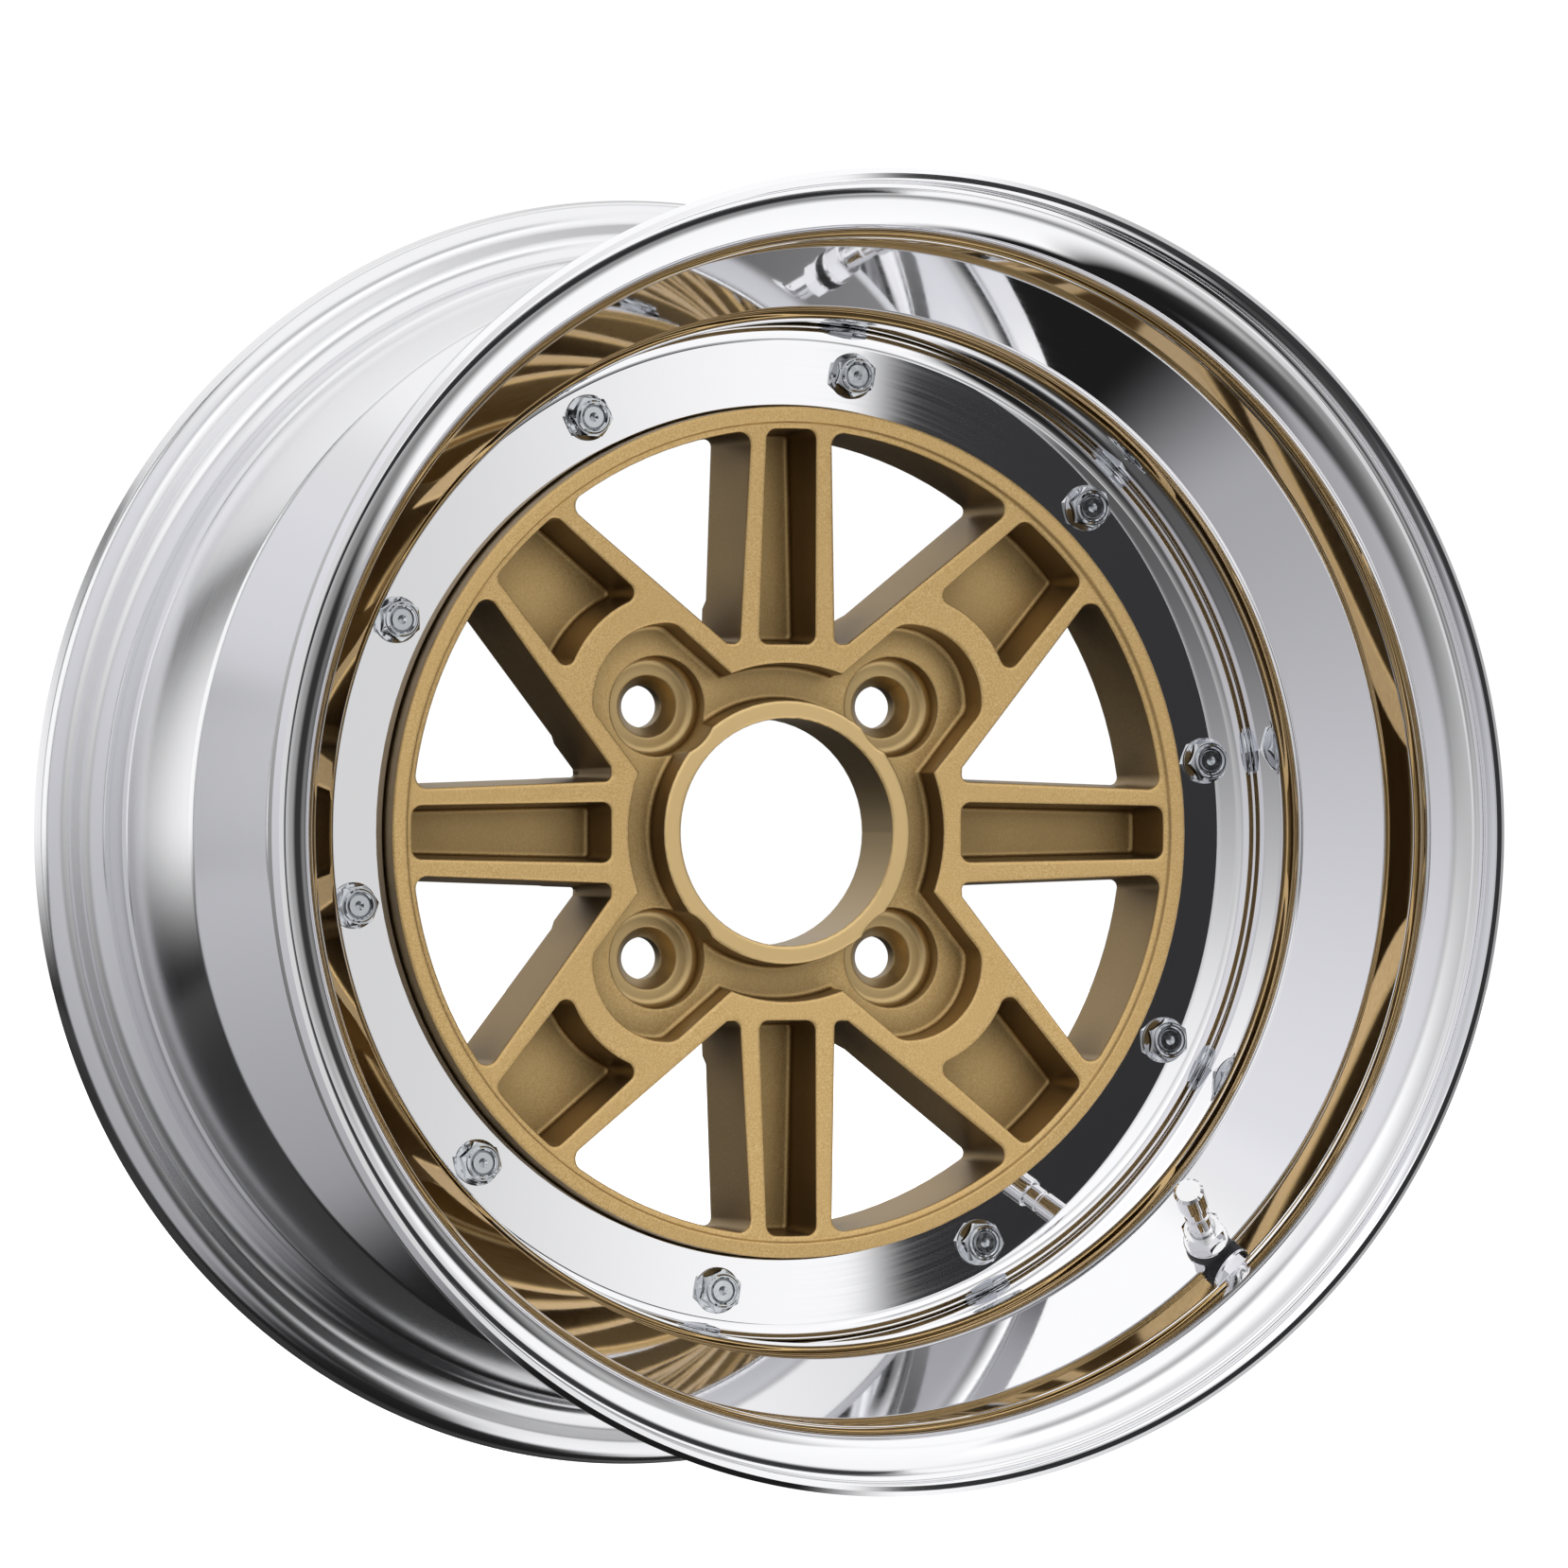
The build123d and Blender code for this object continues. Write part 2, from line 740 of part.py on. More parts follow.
# core: screwed body, sprung pin, spring and the washer that seals under the body
spring_floor = core_foot + 1.0
spring_top = core_top - 2.2
save(
    turned(
        valve_place,
        [
            (pin_r + 0.08, core_foot),
            (2.1, core_foot),
            (2.1, core_top - 3.4),
            (chamber_r - 0.05, core_top - 3.0),
            (chamber_r - 0.05, core_top - 0.3),
            (chamber_r - 0.35, core_top),
            (1.5, core_top),
            (1.5, spring_floor),
            (pin_r + 0.08, spring_floor),
        ],
    ),
    "valve_core_body",
)
save(
    turned(
        valve_place,
        [
            (2.15, core_foot + 1.6),
            (chamber_r - 0.05, core_foot + 1.8),
            (chamber_r - 0.05, core_foot + 3.4),
            (2.15, core_foot + 3.6),
        ],
    ),
    "valve_core_seal",
)
plunger_top = core_foot - 0.35
save(
    turned(
        valve_place,
        [
            (0, plunger_top - 2.0),
            (1.5, plunger_top - 2.0),
            (1.5, plunger_top),
            (pin_r, plunger_top),
            (pin_r, spring_top),
            (1.2, spring_top),
            (1.2, spring_top + 0.6),
            (pin_r, spring_top + 0.6),
            (pin_r, stem_top - 0.6),
            (0, stem_top - 0.4),
        ],
    ),
    "valve_core_pin",
)
spring_wire_r = 0.14
spring_r = 1.0
spring_turns = 6
spring_length = spring_top - spring_floor - 4 * spring_wire_r
spring_place = Plane(
    origin=valve_origin + valve_axis * (spring_floor + 2 * spring_wire_r),
    x_dir=valve_place.x_dir,
    z_dir=valve_axis,
)
with BuildPart() as spring_shape:
    with BuildLine() as coil:
        Helix(pitch=spring_length / spring_turns, height=spring_length, radius=spring_r)
    with BuildSketch(Plane(origin=coil.line @ 0, z_dir=coil.line % 0)):
        Circle(spring_wire_r)
    sweep(is_frenet=True)
placed(spring_shape.part, spring_place, "valve_core_spring")

# cap with its gasket
save(
    turned(
        valve_place,
        [
            (0, cap_top),
            (cap_r - 0.9, cap_top),
            (cap_r, cap_top - 0.9),
            (cap_r, cap_foot + 0.4),
            (cap_r - 0.3, cap_foot),
            (cap_bore_r + 0.3, cap_foot),
            (cap_bore_r, cap_foot + 0.3),
            (cap_bore_r, gasket_top),
            (0, gasket_top),
        ],
    ),
    "valve_cap",
)
save(
    turned(
        valve_place,
        [
            (1.4, gasket_top - gasket_t - 0.05),
            (cap_bore_r - 0.1, gasket_top - gasket_t - 0.05),
            (cap_bore_r - 0.1, gasket_top - 0.05),
            (1.4, gasket_top - 0.05),
        ],
    ),
    "valve_cap_gasket",
)
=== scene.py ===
"""Three-piece racing wheel rim: looks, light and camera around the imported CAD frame."""

import json
import math

import bmesh
import bpy
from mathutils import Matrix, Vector


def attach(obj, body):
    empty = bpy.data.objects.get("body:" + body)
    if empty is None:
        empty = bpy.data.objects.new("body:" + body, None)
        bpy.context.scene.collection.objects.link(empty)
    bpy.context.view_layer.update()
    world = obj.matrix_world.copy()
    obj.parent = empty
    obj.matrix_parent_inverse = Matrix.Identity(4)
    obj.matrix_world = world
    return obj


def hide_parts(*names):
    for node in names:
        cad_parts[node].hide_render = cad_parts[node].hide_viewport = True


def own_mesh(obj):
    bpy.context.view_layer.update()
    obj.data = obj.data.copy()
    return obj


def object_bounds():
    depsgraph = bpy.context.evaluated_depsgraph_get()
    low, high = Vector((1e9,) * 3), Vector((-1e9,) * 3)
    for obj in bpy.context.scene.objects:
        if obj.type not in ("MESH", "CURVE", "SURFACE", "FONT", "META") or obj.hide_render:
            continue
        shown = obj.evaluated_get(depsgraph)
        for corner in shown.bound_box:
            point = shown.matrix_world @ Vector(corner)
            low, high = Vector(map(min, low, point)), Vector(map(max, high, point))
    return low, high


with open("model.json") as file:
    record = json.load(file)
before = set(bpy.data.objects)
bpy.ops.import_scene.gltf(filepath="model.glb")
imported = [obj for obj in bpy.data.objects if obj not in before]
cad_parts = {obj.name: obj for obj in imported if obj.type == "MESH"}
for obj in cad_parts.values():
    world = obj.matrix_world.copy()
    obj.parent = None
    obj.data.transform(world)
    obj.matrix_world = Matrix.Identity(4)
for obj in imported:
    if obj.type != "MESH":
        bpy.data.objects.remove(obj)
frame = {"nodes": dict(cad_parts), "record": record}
CAD_LOW, CAD_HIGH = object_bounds()
NODES = frame["nodes"]

scene = bpy.context.scene

# ---------------------------------------------------------------- camera
# It stands at axle height, left of the axle line, and looks almost at the rim's middle.
# The face offset brings it a little further to the street side. Lengths in metres.
CAMERA_DISTANCE = 4.2669
CAMERA_BEARING = math.radians(21.416)
CAMERA_HEADING = math.radians(21.5008)
FACE_OFFSET = 0.00069
SENSOR_MM = 36.0
LENS_MM = 304.31
SHIFT_UP = 0.0308


def make_camera():
    data = bpy.data.cameras.new("camera")
    data.sensor_width = SENSOR_MM
    data.lens = LENS_MM
    data.shift_y = SHIFT_UP
    data.dof.use_dof = False
    obj = bpy.data.objects.new("camera", data)
    obj.location = (
        -CAMERA_DISTANCE * math.sin(CAMERA_BEARING),
        -CAMERA_DISTANCE * math.cos(CAMERA_BEARING) - FACE_OFFSET,
        0.0,
    )
    obj.rotation_euler = (math.radians(90), 0.0, -CAMERA_HEADING)
    scene.collection.objects.link(obj)
    scene.camera = obj


make_camera()


# ---------------------------------------------------------------- node helpers
class Nodes:
    """A small builder for one node tree."""

    def __init__(self, tree):
        self.tree = tree
        tree.nodes.clear()

    def add(self, kind, **settings):
        node = self.tree.nodes.new(kind)
        for key, value in settings.items():
            setattr(node, key, value)
        return node

    def link(self, source, target):
        self.tree.links.new(source, target)

    def feed(self, socket, value):
        if isinstance(value, bpy.types.NodeSocket):
            self.link(value, socket)
        elif value is not None:
            socket.default_value = value

    def math(self, operation, a, b=None, c=None):
        node = self.add("ShaderNodeMath", operation=operation)
        for socket, value in zip(node.inputs, (a, b, c)):
            self.feed(socket, value)
        return node.outputs[0]

    def distance(self, a, b):
        """How far a point with these two coordinates stands from the origin."""
        squares = self.math("MULTIPLY", a, a), self.math("MULTIPLY", b, b)
        return self.math("SQRT", self.math("ADD", *squares))

    def axes(self, vector):
        """The three coordinates of a vector."""
        node = self.add("ShaderNodeSeparateXYZ")
        self.link(vector, node.inputs[0])
        return node.outputs

    def smooth(self, value, low, high, out_low=0.0, out_high=1.0):
        """Eases from one output to the other as the value goes from low to high."""
        node = self.add("ShaderNodeMapRange", interpolation_type="SMOOTHSTEP")
        for name, item in (
            ("Value", value),
            ("From Min", low),
            ("From Max", high),
            ("To Min", out_low),
            ("To Max", out_high),
        ):
            self.feed(node.inputs[name], item)
        return node.outputs[0]

    def mix_color(self, factor, a, b):
        node = self.add("ShaderNodeMix", data_type="RGBA")
        self.feed(node.inputs[0], factor)
        self.feed(node.inputs[6], a)
        self.feed(node.inputs[7], b)
        return node.outputs[2]

    def noise(self, vector, scale, detail, roughness):
        node = self.add("ShaderNodeTexNoise")
        self.link(vector, node.inputs["Vector"])
        node.inputs["Scale"].default_value = scale
        node.inputs["Detail"].default_value = detail
        node.inputs["Roughness"].default_value = roughness
        return node.outputs[0]

    def bump(self, height, strength, distance, normal=None):
        node = self.add("ShaderNodeBump")
        node.inputs["Strength"].default_value = strength
        node.inputs["Distance"].default_value = distance
        self.link(height, node.inputs["Height"])
        if normal is not None:
            self.link(normal, node.inputs["Normal"])
        return node.outputs[0]

    def show(self, shader, output="ShaderNodeOutputMaterial"):
        """Shows a shader on the surface that the tree stands for."""
        self.link(shader.outputs[0], self.add(output).inputs["Surface"])


# ---------------------------------------------------------------- studio light
# Cards are laid over the sky one after another. Each one: azimuth, elevation, half width,
# half height, softness of its sides, softness of its ends (degrees), radiance at its foot
# and at its head, tint. Azimuth 0 is in front of the wheel face, positive towards +X.
COOL = (0.955, 0.955, 1.0)
WHITE = (1.0, 1.0, 1.0)
CARDS = (
    (0.0, 0.0, 75.0, 42.0, 30.0, 30.0, 0.03, 0.66, WHITE),
    (-80.0, -2.0, 48.0, 58.0, 24.0, 22.0, 0.40, 0.84, COOL),
    (128.0, 5.0, 30.0, 42.0, 24.0, 24.0, 0.20, 0.60, WHITE),
    (180.0, 12.0, 46.0, 36.0, 16.0, 14.0, 0.012, 1.10, WHITE),
    (4.0, 6.0, 30.0, 34.0, 14.0, 16.0, 0.08, 1.30, WHITE),
    (60.0, -2.0, 12.0, 34.0, 12.0, 16.0, 0.020, 0.050, WHITE),
    (60.0, -44.0, 52.0, 28.0, 16.0, 12.0, 1.05, 1.00, WHITE),
    (34.0, 33.0, 15.0, 24.0, 8.0, 8.0, 1.00, 1.05, WHITE),
    (18.4, 0.0, 3.6, 8.0, 0.5, 8.0, 0.68, 0.72, WHITE),
    (21.9, 0.0, 1.2, 8.0, 2.0, 8.0, 1.02, 1.02, WHITE),
    (24.5, 0.0, 2.6, 7.0, 0.3, 6.0, 0.025, 0.045, COOL),
)
# The sky under the cards, the bright overhead over them, and the elevations between which
# each of the two rises.
SKY_FLOOR = 0.012
SKY_SIDE = 0.16
SKY_SIDE_RISE = (-50.0, 20.0)
SKY_TOP = (1.04, 1.04, 1.04, 1.0)
SKY_TOP_RISE = (40.0, 62.0)


def make_world():
    world = bpy.data.worlds.new("studio")
    scene.world = world
    world.use_nodes = True
    n = Nodes(world.node_tree)
    x, y, z = n.axes(n.add("ShaderNodeTexCoord").outputs["Generated"])
    azimuth = n.math("DEGREES", n.math("ARCTAN2", x, n.math("MULTIPLY", y, -1.0)))
    elevation = n.math("DEGREES", n.math("ARCSINE", z))

    def grey(value, tint):
        color = n.add("ShaderNodeCombineColor")
        for socket, share in zip(color.inputs, tint):
            n.link(n.math("MULTIPLY", value, share), socket)
        return color.outputs[0]

    total = grey(n.smooth(elevation, *SKY_SIDE_RISE, SKY_FLOOR, SKY_SIDE), WHITE)
    for az, el, half_w, half_h, side_soft, end_soft, foot, head, tint in CARDS:
        away = n.math("ABSOLUTE", n.math("WRAP", n.math("SUBTRACT", azimuth, az), 180.0, -180.0))
        rise = n.math("ABSOLUTE", n.math("SUBTRACT", elevation, el))
        across = n.smooth(away, half_w - side_soft / 2, half_w + side_soft / 2, 1.0, 0.0)
        along = n.smooth(rise, half_h - end_soft / 2, half_h + end_soft / 2, 1.0, 0.0)
        power = n.smooth(elevation, el - half_h, el + half_h, foot, head)
        total = n.mix_color(n.math("MULTIPLY", across, along), total, grey(power, tint))
    total = n.mix_color(n.smooth(elevation, *SKY_TOP_RISE), total, SKY_TOP)
    background = n.add("ShaderNodeBackground")
    n.link(total, background.inputs["Color"])
    n.show(background, "ShaderNodeOutputWorld")


make_world()
scene.view_settings.view_transform = "Standard"


# ---------------------------------------------------------------- floor and backdrop
BACKDROP_RADIUS = 14.0
BACKDROP_ROWS = 24
BACKDROP_SEGMENTS = 48
BACKDROP_WHITE = 1.02
FLOOR_RADIUS = BACKDROP_RADIUS * 0.95
FLOOR_SEGMENTS = 96
FLOOR_GAP = 0.0004
FLOOR_GLOW = 0.92
FLOOR_PAINT = (0.8, 0.8, 0.8, 1.0)
FLOOR_ROUGH = 0.9
REAR_CARD_X = (-2.20, -0.38)
REAR_CARD_Y = 0.60
REAR_CARD_Z = (-0.20, 0.80)
REAR_CARD_GLOW = 1.10
# Where the rear card fades out at its four edges, in shares of its width and height.
REAR_FADE_FAR = (0.0, 0.5)
REAR_FADE_NEAR = (0.90, 1.0)
REAR_FADE_FOOT = (0.0, 0.22)
REAR_FADE_HEAD = (0.8, 1.0)


def add_object(name, verts, faces, material):
    mesh = bpy.data.meshes.new(name)
    mesh.from_pydata(verts, [], faces)
    mesh.materials.append(material)
    obj = bpy.data.objects.new(name, mesh)
    scene.collection.objects.link(obj)
    return obj


def tube_faces(rings, sides):
    """Faces between rings of points that follow one another."""
    return [
        (
            ring * sides + i,
            ring * sides + (i + 1) % sides,
            (ring + 1) * sides + (i + 1) % sides,
            (ring + 1) * sides + i,
        )
        for ring in range(rings - 1)
        for i in range(sides)
    ]


def camera_only(obj):
    """Marks a part of the stage that the camera sees, but that lights and mirrors nothing."""
    obj.visible_diffuse = False
    obj.visible_glossy = False
    obj.visible_transmission = False
    obj.visible_volume_scatter = False
    obj.visible_shadow = False


def new_glow(name):
    """A material that only glows, its tree, and the socket for its strength."""
    material = bpy.data.materials.new(name)
    material.use_nodes = True
    n = Nodes(material.node_tree)
    glow = n.add("ShaderNodeEmission")
    n.show(glow)
    return material, n, glow.inputs["Strength"]


def ring_points(radius, segments, height):
    step = 2 * math.pi / segments
    return [
        (radius * math.cos(i * step), radius * math.sin(i * step), height)
        for i in range(segments)
    ]


def make_backdrop():
    """A white ball round everything."""
    rows = BACKDROP_ROWS
    segments = BACKDROP_SEGMENTS
    verts = []
    for row in range(1, rows):
        tilt = math.pi * (row / rows - 0.5)
        verts += ring_points(
            BACKDROP_RADIUS * math.cos(tilt), segments, BACKDROP_RADIUS * math.sin(tilt)
        )
    faces = tube_faces(rows - 1, segments)
    faces.append(tuple(range(segments)))
    faces.append(tuple((rows - 2) * segments + i for i in range(segments)))
    material, _, strength = new_glow("backdrop_white")
    strength.default_value = BACKDROP_WHITE
    camera_only(add_object("backdrop", verts, faces, material))


def make_floor():
    """A pale round floor just under the wheel."""
    pale = bpy.data.materials.new("pale_floor")
    pale.use_nodes = True
    n = Nodes(pale.node_tree)
    body = n.add("ShaderNodeBsdfPrincipled")
    body.inputs["Base Color"].default_value = FLOOR_PAINT
    body.inputs["Roughness"].default_value = FLOOR_ROUGH
    body.inputs["Specular IOR Level"].default_value = 0.0
    body.inputs["Emission Color"].default_value = (1.0, 1.0, 1.0, 1.0)
    body.inputs["Emission Strength"].default_value = FLOOR_GLOW
    n.show(body)
    rim = ring_points(FLOOR_RADIUS, FLOOR_SEGMENTS, CAD_LOW.z - FLOOR_GAP)
    camera_only(add_object("floor", rim, [tuple(range(FLOOR_SEGMENTS))], pale))


def make_rear_card():
    """A lit card behind the wheel on its left, which only the outside of the barrel faces."""
    material, n, strength = new_glow("rear_card_glow")
    split = n.axes(n.add("ShaderNodeTexCoord").outputs["Generated"])
    across = split["X"]
    along = split["Z"]
    fade = n.math(
        "MULTIPLY", n.smooth(across, *REAR_FADE_FAR), n.smooth(across, *REAR_FADE_NEAR, 1.0, 0.0)
    )
    fade = n.math("MULTIPLY", fade, n.smooth(along, *REAR_FADE_FOOT))
    fade = n.math("MULTIPLY", fade, n.smooth(along, *REAR_FADE_HEAD, 1.0, 0.0))
    n.link(n.math("MULTIPLY", fade, REAR_CARD_GLOW), strength)
    corners = [
        (REAR_CARD_X[i], REAR_CARD_Y, REAR_CARD_Z[k]) for i, k in ((0, 0), (1, 0), (1, 1), (0, 1))
    ]
    card = add_object("rear_card", corners, [(0, 1, 2, 3)], material)
    card.visible_camera = False
    card.visible_shadow = False


make_backdrop()
make_floor()
make_rear_card()


# ---------------------------------------------------------------- materials
# Where the centre is machined, in metres: four stud seats, the boss face and the bore.
LUG_ALONG = 0.04041
LUG_SEAT_R = 0.0164
BOSS_R = 0.0424
BOSS_FACE_Y = -0.0204
BOSS_FACE_BLUR = 0.0004
BORE_R = 0.0370
MASK_BLUR = 0.0002
# Its paint. A range is where it starts and ends, then its value there.
FLECK_RANGE = (0.35, 0.68)
FLECK_DARK = (0.80, 0.52, 0.20, 1.0)
FLECK_LIGHT = (1.0, 0.73, 0.35, 1.0)
CLOUD_GOLD = (0.88, 0.60, 0.26, 1.0)
CLOUD_SHARE = 0.5
CLOUD_SCALE = 38.0
MACHINED_GOLD = (1.0, 0.72, 0.34, 1.0)
# Painted shade: the gold turns near black in hollows, where ambient occlusion finds surfaces close
# by.
PAINTED_SHADE_GOLD = (0.055, 0.035, 0.016, 1.0)
PAINTED_SHADE_REACH = 0.022
PAINTED_SHADE_SAMPLES = 8
PAINTED_SHADE_RANGE = (0.35, 0.95, 0.45, 1.0)
# Painted shade: walls whose normals turn away from the wheel's axis, such as spoke, pocket and
# bore walls, are darkened towards brown.
PAINTED_WALL_SHADE_GOLD = (0.085, 0.055, 0.030, 1.0)
PAINTED_WALL_SHADE_RANGE = (0.15, 0.75, 0.62, 0.0)
GOLD_METALLIC = 0.92
# Its surface: shot-peened grain with larger dents, nearly none where it is machined.
GRAIN_SCALE = 1900.0
DENT_SCALE = GRAIN_SCALE * 0.45
GRAIN_SHARE = 0.6
GRAIN_ON_MACHINED = 0.02
GRAIN_STRENGTH = 0.30
GRAIN_DEPTH = 0.00014
PEENED_ROUGH = (0.36, 0.48)
MACHINED_ROUGH = 0.34
EDGE_ROUND = 0.0013
EDGE_SAMPLES = 6
# The range in which a noise pattern's values mostly lie.
NOISE_RANGE = (0.3, 0.7)
# Dull materials: how dark their grain gets, and how much it is raised.
DARK_SHARE = 0.8
MATT_BUMP = 0.3


def new_material(name):
    """A material with one shader, its tree, that shader and the object's coordinates."""
    material = bpy.data.materials.new(name)
    material.use_nodes = True
    n = Nodes(material.node_tree)
    shader = n.add("ShaderNodeBsdfPrincipled")
    n.show(shader)
    coords = n.add("ShaderNodeTexCoord")
    return material, n, shader, coords.outputs["Object"]


def machined_mask(n, place):
    """1 on the stud seats, the boss face and the bore, and 0 elsewhere."""
    x, y, z = n.axes(place)
    lug_x = n.math("SUBTRACT", n.math("ABSOLUTE", x), LUG_ALONG)
    lug_z = n.math("SUBTRACT", n.math("ABSOLUTE", z), LUG_ALONG)
    radius = n.distance(x, z)

    def within(value, limit, blur=MASK_BLUR):
        return n.smooth(value, limit - blur, limit, 1.0, 0.0)

    seat = within(n.distance(lug_x, lug_z), LUG_SEAT_R)
    boss = n.math("MULTIPLY", within(radius, BOSS_R), within(y, BOSS_FACE_Y, BOSS_FACE_BLUR))
    return n.math("MAXIMUM", seat, n.math("MAXIMUM", boss, within(radius, BORE_R)))


def gold_paint():
    """Metallic gold over a shot-peened forging, with the machined seats and bore left smoother,
    and painted shade darkening its hollows and side walls.
    """
    material, n, shader, place = new_material("gold_centre_paint")
    machined = machined_mask(n, place)
    grain = n.noise(place, GRAIN_SCALE, detail=2.0, roughness=0.55)
    dents = n.noise(place, DENT_SCALE, detail=2.0, roughness=0.5)
    cloud = n.noise(place, CLOUD_SCALE, detail=3.0, roughness=0.5)

    base = n.mix_color(n.smooth(grain, *FLECK_RANGE), FLECK_DARK, FLECK_LIGHT)
    base = n.mix_color(n.smooth(cloud, *NOISE_RANGE, 0.0, CLOUD_SHARE), base, CLOUD_GOLD)
    base = n.mix_color(machined, base, MACHINED_GOLD)
    # Painted shade in the hollows, taken from ambient occlusion.
    hollow_shade = n.add("ShaderNodeAmbientOcclusion")
    hollow_shade.samples = PAINTED_SHADE_SAMPLES
    hollow_shade.inputs["Distance"].default_value = PAINTED_SHADE_REACH
    base = n.mix_color(n.smooth(hollow_shade.outputs["AO"], *PAINTED_SHADE_RANGE), PAINTED_SHADE_GOLD, base)
    # Painted shade on side walls, by how little the normal points along the axis.
    lie = n.axes(place.node.outputs["Normal"])
    wall_shade = n.smooth(n.math("ABSOLUTE", lie["Y"]), *PAINTED_WALL_SHADE_RANGE)
    base = n.mix_color(wall_shade, base, PAINTED_WALL_SHADE_GOLD)
    n.link(base, shader.inputs["Base Color"])
    shader.inputs["Metallic"].default_value = GOLD_METALLIC

    peened = n.smooth(grain, *NOISE_RANGE, *PEENED_ROUGH)
    gloss = n.math(
        "ADD",
        n.math("MULTIPLY", peened, n.math("SUBTRACT", 1.0, machined)),
        n.math("MULTIPLY", machined, MACHINED_ROUGH),
    )
    n.link(gloss, shader.inputs["Roughness"])

    height = n.math("ADD", n.math("MULTIPLY", grain, GRAIN_SHARE), dents)
    height = n.math("MULTIPLY", height, n.smooth(machined, 0.0, 1.0, 1.0, GRAIN_ON_MACHINED))
    soft_edges = n.add("ShaderNodeBevel")
    soft_edges.samples = EDGE_SAMPLES
    soft_edges.inputs["Radius"].default_value = EDGE_ROUND
    bump = n.bump(height, GRAIN_STRENGTH, GRAIN_DEPTH, soft_edges.outputs[0])
    n.link(bump, shader.inputs["Normal"])
    return material


def bare_metal(n, shader, color, pattern, roughs):
    """One metal colour, and a gloss that follows a pattern."""
    shader.inputs["Base Color"].default_value = (*color, 1.0)
    shader.inputs["Metallic"].default_value = 1.0
    n.link(n.smooth(pattern, *NOISE_RANGE, *roughs), shader.inputs["Roughness"])


def turned_metal(name, color, roughs, lines, lay=None):
    """Metal turned about the axle: fine rings in radius and width, raised by lay if given."""
    material, n, shader, place = new_material(name)
    x, y, z = n.axes(place)
    rings = n.add("ShaderNodeCombineXYZ")
    n.link(n.distance(x, z), rings.inputs[0])
    n.link(y, rings.inputs[1])
    cut = n.noise(rings.outputs[0], lines, detail=4.0, roughness=0.6)
    bare_metal(n, shader, color, cut, roughs)
    if lay:
        n.link(n.bump(cut, *lay), shader.inputs["Normal"])
    return material


def plain_metal(name, color, roughs, scale):
    """Metal whose gloss varies a little in small spots."""
    material, n, shader, place = new_material(name)
    wear = n.noise(place, scale, detail=3.0, roughness=0.6)
    bare_metal(n, shader, color, wear, roughs)
    return material


def matt(name, color, rough, scale, depth):
    """A dull moulded or cured surface with a fine uneven grain."""
    material, n, shader, place = new_material(name)
    grain = n.noise(place, scale, detail=3.0, roughness=0.6)
    dark = tuple(c * DARK_SHARE for c in color)
    tone = n.mix_color(n.smooth(grain, *NOISE_RANGE), (*dark, 1.0), (*color, 1.0))
    n.link(tone, shader.inputs["Base Color"])
    shader.inputs["Roughness"].default_value = rough
    n.link(n.bump(grain, MATT_BUMP, depth), shader.inputs["Normal"])
    return material


# Each of the record's material slots, with what it looks like.
MATERIALS = {
    "gold_centre": gold_paint(),
    "polished_lip": turned_metal(
        "polished_aluminium", (0.93, 0.93, 0.945), (0.014, 0.028), 900.0
    ),
    "satin_barrel": turned_metal(
        "satin_turned_aluminium", (0.86, 0.86, 0.875), (0.15, 0.19), 1400.0, (0.03, 1e-5)
    ),
    "bright_zinc": plain_metal("bright_zinc_plate", (0.60, 0.62, 0.64), (0.03, 0.07), 700.0),
    "valve_chrome": plain_metal("nickel_chrome_plate", (0.90, 0.90, 0.91), (0.04, 0.08), 900.0),
    "spring_steel": plain_metal("drawn_spring_wire", (0.62, 0.62, 0.64), (0.2, 0.3), 900.0),
    "brass": plain_metal("turned_brass", (0.78, 0.57, 0.26), (0.15, 0.25), 900.0),
    "rubber": matt("moulded_black_rubber", (0.02, 0.02, 0.022), 0.55, 1800.0, 3e-5),
    "sealant": matt("cured_sealant", (0.42, 0.42, 0.43), 0.5, 600.0, 8e-5),
}

for node in NODES.values():
    slots = node.data.materials
    for index, old in enumerate(slots[:]):
        key = old.name.split(".")[0] if old else ""
        if key in MATERIALS:
            slots[index] = MATERIALS[key]


# ---------------------------------------------------------------- finely spun rim halves
MM = 0.001
SPUN_STEPS = 480
ROUNDING_STEP = math.radians(4.0)
ROUNDING_LEAST_STEPS = 3
# Points of the outline that stand closer than this (mm) are one point.
CLOSEST_POINTS = 1e-3
SHARP_EDGE = math.radians(24.0)
# Large flat faces set the normals at their edges, so they mirror without a bend.
LARGE_FACES_LEAD = 100
# The bolts' holes and the valve's. A flange's back is a height towards the street face; it
# and the lead, by which a hole's cutter starts behind it, are in mm. The rest is in metres.
CUTTER_SIDES = 48
BOLT_COUNT = 10
FIRST_BOLT = math.radians(9.0)
BOLT_CIRCLE = 0.1484
BOLT_HOLE = 0.0041
BITE_LEAD = 1.0
FLANGE_BITE = 0.007
LIP_FLANGE_BACK = 13.2
HUB_FLANGE_BACK = 0.7
VALVE_HOLE = 0.0042
VALVE_BITE = 0.012
# Corners of each half's section: radius, height towards the street face, rounding (mm).
STREET_FLANGE = (
    (186.9, 108.6, 15.3),
    (204.4, 108.6, 2.2),
    (204.8, 118.2, 0.0),
    (205.2, 118.4, 0.0),
    (206.8, 118.4, 0.0),
    (208.5, 116.6, 0.0),
    (207.8, 112.0, 0.0),
    (207.8, 104.0, 8.0),
    (190.1, 104.0, 8.0),
)
OUTER_SECTION = (
    (136.95, 18.2, 0.3),
    (162.9, 18.2, 5.5),
    (162.9, 49.0, 17.2),
    (186.9, 73.7, 5.0),
    *STREET_FLANGE,
    (190.1, 70.97, 2.0),
    (167.1, 47.30, 13.0),
    (167.1, 9.45, 0.0),
    (162.9, 9.45, 0.0),
    (162.9, 13.2, 0.0),
    (136.95, 13.2, 0.0),
)
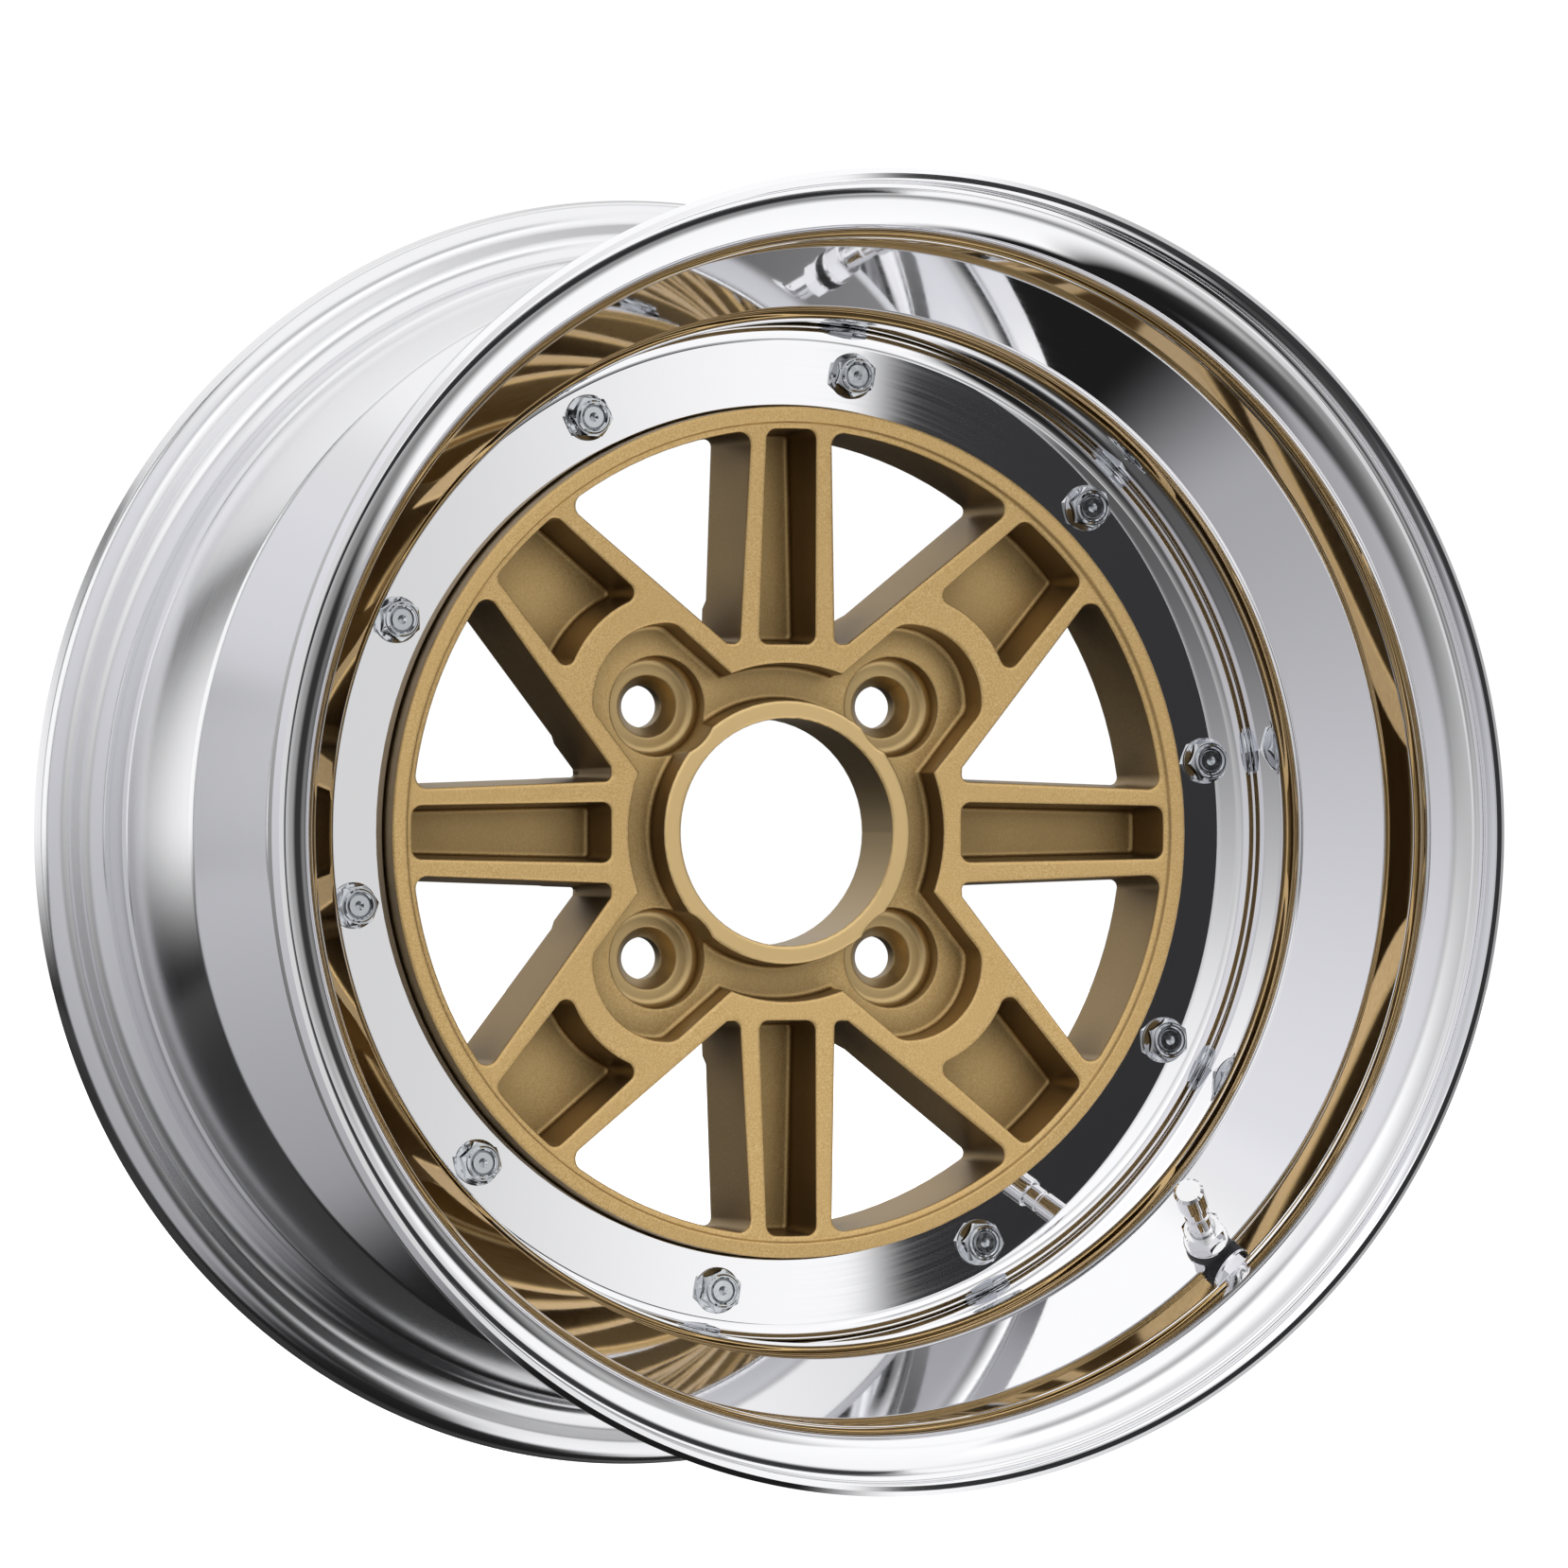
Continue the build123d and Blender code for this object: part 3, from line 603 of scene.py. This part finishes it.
INNER_SECTION = (
    (167.1, 9.45, 0.0),
    (162.9, 9.45, 0.0),
    (162.9, 5.7, 0.0),
    (138.55, 5.7, 0.0),
    (138.55, 0.7, 0.0),
    (162.9, 0.7, 1.4),
    (162.9, -4.8, 8.0),
    (179.9, -35.7, 8.0),
    (182.8, -61.3, 8.0),
    (184.2, -85.3, 1.0),
    (186.9, -93.3, 0.0),
    *[(r, -front, fillet) for r, front, fillet in STREET_FLANGE],
    (188.9, -85.5, 0.0),
    (187.9, -84.3, 0.0),
    (187.0, -61.3, 0.0),
    (183.5, -33.3, 8.0),
    (167.1, -3.3, 8.0),
)


def closed_piece(name, verts, faces, slot):
    """A piece of one material, with all its faces turned outwards."""
    piece = add_object(name, verts, faces, MATERIALS[slot])
    work = bmesh.new()
    work.from_mesh(piece.data)
    bmesh.ops.recalc_face_normals(work, faces=work.faces)
    work.to_mesh(piece.data)
    work.free()
    return piece


def stand_for(piece, node):
    """Shows a piece in place of a CAD node of the wheel."""
    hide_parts(node)
    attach(piece, "wheel")


def rounded(corners):
    """The section's outline, with each rounding drawn as short chords."""
    path = []
    for i, (r, front, fillet) in enumerate(corners):
        here = Vector((r, front))
        chords = [here]
        if fillet:
            before = (Vector(corners[i - 1][:2]) - here).normalized()
            after = (Vector(corners[(i + 1) % len(corners)][:2]) - here).normalized()
            half = before.angle(after) / 2
            centre = here + (before + after).normalized() * (fillet / math.sin(half))
            start = (here + before * (fillet / math.tan(half)) - centre).normalized()
            end = (here + after * (fillet / math.tan(half)) - centre).normalized()
            steps = max(ROUNDING_LEAST_STEPS, math.ceil(start.angle(end) / ROUNDING_STEP))
            chords = [centre + start.slerp(end, k / steps) * fillet for k in range(steps + 1)]
        for point in chords:
            if not path or (point - path[-1]).length > CLOSEST_POINTS:
                path.append(point)
    return path


def square_to(axis):
    """Two directions square to an axis and to each other."""
    side = axis.orthogonal().normalized()
    return side, axis.cross(side)


def rod(verts, faces, foot, axis, radius, length):
    """Adds a closed round bar to a cutter."""
    side, other = square_to(axis)
    first = len(verts)
    for height in (0.0, length):
        for i in range(CUTTER_SIDES):
            turn = 2 * math.pi * i / CUTTER_SIDES
            verts.append(
                foot + axis * height + (side * math.cos(turn) + other * math.sin(turn)) * radius
            )
    for i in range(CUTTER_SIDES):
        after = (i + 1) % CUTTER_SIDES
        faces.append(
            (first + i, first + after, first + CUTTER_SIDES + after, first + CUTTER_SIDES + i)
        )
    faces.append(tuple(first + i for i in reversed(range(CUTTER_SIDES))))
    faces.append(tuple(first + CUTTER_SIDES + i for i in range(CUTTER_SIDES)))


def drill(piece, holes):
    """Cuts round holes through a piece. Each hole: foot, axis, radius, length."""
    verts = []
    faces = []
    for foot, axis, radius, length in holes:
        rod(verts, faces, foot, axis, radius, length)
    mesh = bpy.data.meshes.new("cutter")
    mesh.from_pydata(verts, [], faces)
    cutter = bpy.data.objects.new("cutter", mesh)
    scene.collection.objects.link(cutter)
    cut = piece.modifiers.new("holes", "BOOLEAN")
    cut.operation = "DIFFERENCE"
    cut.solver = "EXACT"
    cut.object = cutter
    graph = bpy.context.evaluated_depsgraph_get()
    drilled = bpy.data.meshes.new_from_object(piece.evaluated_get(graph))
    piece.modifiers.remove(cut)
    undrilled = piece.data
    piece.data = drilled
    bpy.data.meshes.remove(undrilled)
    bpy.data.objects.remove(cutter)
    bpy.data.meshes.remove(mesh)
    drilled.shade_smooth()
    drilled.set_sharp_from_angle(angle=SHARP_EDGE)


def spin(name, corners, node, slot, holes):
    """A turned piece that stands for a CAD node, fine enough for mirror reflections."""
    outline = rounded(corners)
    count = len(outline)
    verts = []
    for i in range(SPUN_STEPS):
        turn = 2 * math.pi * i / SPUN_STEPS
        verts += [
            (p.x * MM * math.cos(turn), -p.y * MM, p.x * MM * math.sin(turn)) for p in outline
        ]
    faces = []
    for i in range(SPUN_STEPS):
        here = i * count
        there = (i + 1) % SPUN_STEPS * count
        faces += [
            (here + k, here + (k + 1) % count, there + (k + 1) % count, there + k)
            for k in range(count)
        ]
    piece = closed_piece(name, verts, faces, slot)
    drill(piece, holes)
    flat = piece.modifiers.new("flat_faces_stay_flat", "WEIGHTED_NORMAL")
    flat.weight = LARGE_FACES_LEAD
    flat.keep_sharp = True
    stand_for(piece, node)


def bolt_holes(back):
    """The bolt holes through a flange whose back stands at a height (mm)."""
    axis = Vector((0.0, -1.0, 0.0))
    start = -(back - BITE_LEAD) * MM
    for i in range(BOLT_COUNT):
        turn = FIRST_BOLT + 2 * math.pi * i / BOLT_COUNT
        foot = Vector((BOLT_CIRCLE * math.cos(turn), start, BOLT_CIRCLE * math.sin(turn)))
        yield foot, axis, BOLT_HOLE, FLANGE_BITE


def valve_line():
    """A point on the valve's axis and its direction, from the joint that turns the cap."""
    joints = frame["record"]["behaviour"]["joints"]
    turn = next(joint for joint in joints if joint["name"] == "cap_turn")
    return Vector(turn["pos_m"]), Vector(turn["axis"]).normalized()


def valve_hole():
    """The valve's hole, on its axis."""
    seat, axis = valve_line()
    return seat - axis * VALVE_BITE, axis, VALVE_HOLE, 2 * VALVE_BITE


spin(
    "spun_outer_half",
    OUTER_SECTION,
    "outer_rim_half",
    "polished_lip",
    [*bolt_holes(LIP_FLANGE_BACK), valve_hole()],
)
spin(
    "spun_inner_half",
    INNER_SECTION,
    "inner_rim_half",
    "satin_barrel",
    [*bolt_holes(HUB_FLANGE_BACK)],
)


# ---------------------------------------------------------------- core spring
# It stands along the valve's axis. Lengths in metres.
SPRING_FOOT = 0.02068
SPRING_LENGTH = 0.00704
SPRING_COIL = 0.0010
SPRING_WIRE = 0.00014
SPRING_TURNS = 6
COIL_STEPS = 32
WIRE_SIDES = 8


def core_spring():
    """A wound wire along the valve's axis, shown in place of the CAD spring."""
    seat, axis = valve_line()
    side, other = square_to(axis)
    foot = seat + axis * SPRING_FOOT
    count = SPRING_TURNS * COIL_STEPS + 1
    verts = []
    for i in range(count):
        turn = 2 * math.pi * i / COIL_STEPS
        outward = side * math.cos(turn) + other * math.sin(turn)
        centre = foot + axis * (SPRING_LENGTH * i / (count - 1)) + outward * SPRING_COIL
        for k in range(WIRE_SIDES):
            around = 2 * math.pi * k / WIRE_SIDES
            spoke = outward * math.cos(around) + axis * math.sin(around)
            verts.append(centre + spoke * SPRING_WIRE)
    faces = tube_faces(count, WIRE_SIDES)
    faces.append(tuple(reversed(range(WIRE_SIDES))))
    faces.append(tuple((count - 1) * WIRE_SIDES + k for k in range(WIRE_SIDES)))
    piece = closed_piece("core_spring_coil", verts, faces, "spring_steel")
    piece.data.shade_smooth()
    stand_for(piece, "valve_core_spring")
    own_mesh(piece)


core_spring()
